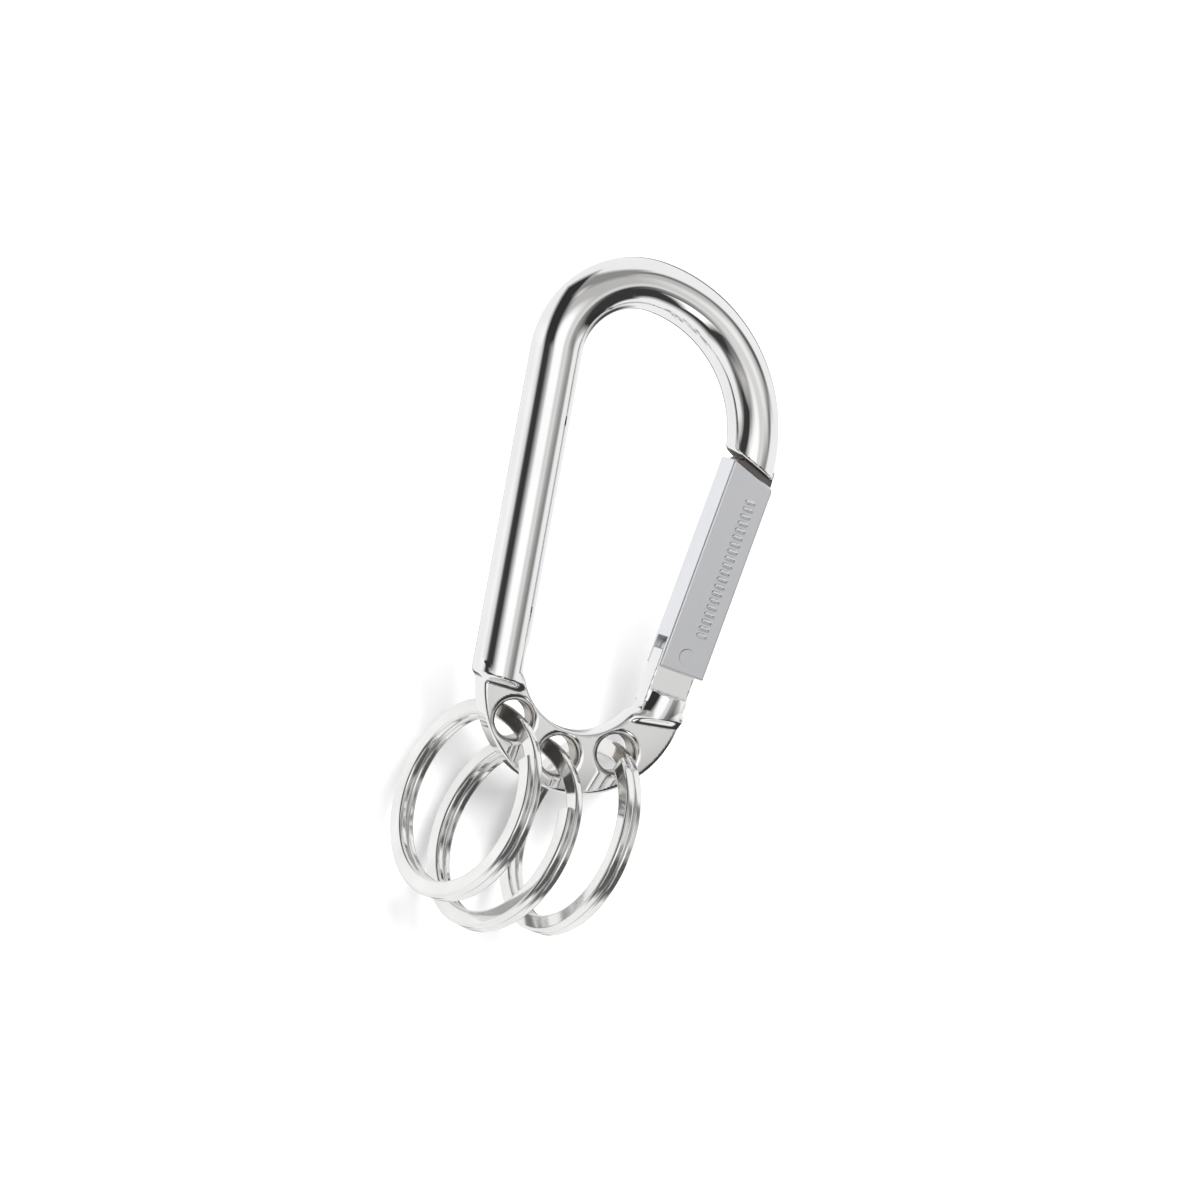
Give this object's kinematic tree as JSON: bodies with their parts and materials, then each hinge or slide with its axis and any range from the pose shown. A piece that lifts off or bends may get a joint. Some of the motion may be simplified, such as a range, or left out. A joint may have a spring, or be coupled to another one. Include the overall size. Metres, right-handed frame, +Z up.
{
  "type": "carabiner keyring",
  "caption": "D-shaped spring-gate carabiner in round bar, its flat foot drilled for split rings that hold keys.",
  "frame": {"origin": "the top of the loop's inside, where the hook hangs from a belt loop or ring, half way through the bar's depth", "axes": "+Z up along the straight spine, from the ring holes to the crown; +X across the loop from the spine to the gate; the front, as pictured, faces -Y"},
  "size_m": [0.0448, 0.0315, 0.1037],
  "materials": {
    "polished_bar": "mirror polish",
    "satin_gate": "fine satin",
    "ring_wire": "bright nickel plate",
    "spring_steel": "plain drawn wire"
  },
  "bodies": {
    "frame": {"frame_bar": "polished_bar"},
    "gate": {"gate": "satin_gate", "hinge_pin": "satin_gate", "gate_spring": "spring_steel"},
    "plunger": {"spring_plunger": "spring_steel"},
    "ring_left": {"ring_left": "ring_wire"},
    "ring_middle": {"ring_middle": "ring_wire"},
    "ring_right": {"ring_right": "ring_wire"}
  },
  "joints": [
    {"name": "gate_hinge", "type": "hinge", "parent": "frame", "child": "gate", "pos_m": [0.01615, 0, -0.0501], "axis": [0, -1, 0], "range_deg": [0, 27], "stiffness_Nm_per_rad": 0.14, "springref_deg": -31.51},
    {"name": "plunger_slide", "type": "slide", "parent": "gate", "child": "plunger", "axis": [0.1805, 0, 0.9836], "range_m": [0, 0.0006], "deforming": ["gate_spring"]},
    {"name": "ring_left_swing", "type": "hinge", "parent": "frame", "child": "ring_left", "pos_m": [-0.00882, 0, -0.06338], "axis": [0.9281, 0.3196, -0.1908], "range_deg": [-27, 10]},
    {"name": "ring_middle_swing", "type": "hinge", "parent": "frame", "child": "ring_middle", "pos_m": [-0.00082, 0, -0.06763], "axis": [0.916, 0.3065, -0.2588], "range_deg": [-25, 8]},
    {"name": "ring_right_swing", "type": "hinge", "parent": "frame", "child": "ring_right", "pos_m": [0.00809, 0, -0.06606], "axis": [0.9531, 0.22, -0.2079], "range_deg": [-31, 14]}
  ],
  "couplings": [
    {"joint": "plunger_slide", "follows": "gate_hinge", "m_per_rad": 0.0011}
  ]
}
